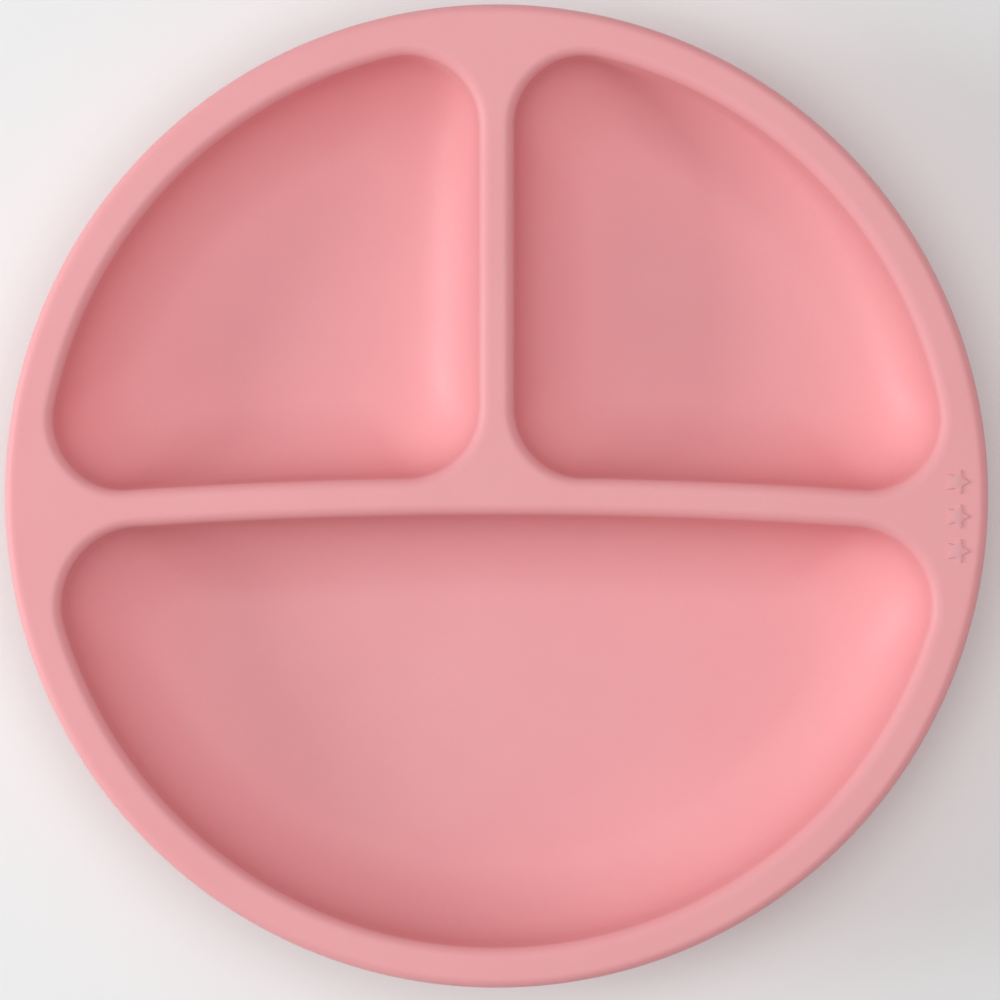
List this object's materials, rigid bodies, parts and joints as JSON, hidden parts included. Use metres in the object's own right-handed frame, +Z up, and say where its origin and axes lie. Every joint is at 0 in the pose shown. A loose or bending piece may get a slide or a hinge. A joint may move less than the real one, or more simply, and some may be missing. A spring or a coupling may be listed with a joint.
{
  "type": "divided suction plate",
  "caption": "Round silicone plate for a baby, divided into a large and smaller compartments, on a suction base with a pull tab.",
  "frame": {"origin": "on the table, under the centre of the plate", "axes": "+Z up out of the compartments; the large compartment and the pull tab are towards -Y; the raised stars are at +X"},
  "size_m": [0.188, 0.188, 0.0323],
  "materials": {
    "plate_silicone": "smooth satin silicone, pale coral pink",
    "base_silicone": "softer silicone of the same pink, satin"
  },
  "bodies": {
    "plate": {"divided_plate": "plate_silicone", "suction_hub": "base_silicone"},
    "skirt": {"suction_skirt": "base_silicone"},
    "tab": {"release_tab": "base_silicone"}
  },
  "joints": [
    {"name": "suction_press", "type": "slide", "parent": "plate", "child": "skirt", "axis": [0, 0, 1], "range_m": [0, 0.003], "stiffness_N_per_m": 2500, "springref_m": -0.002},
    {"name": "tab_lift", "type": "hinge", "parent": "skirt", "child": "tab", "pos_m": [0, -0.059, 0.0008], "axis": [-1, 0, 0], "range_deg": [0, 12], "stiffness_Nm_per_rad": 0.02}
  ]
}
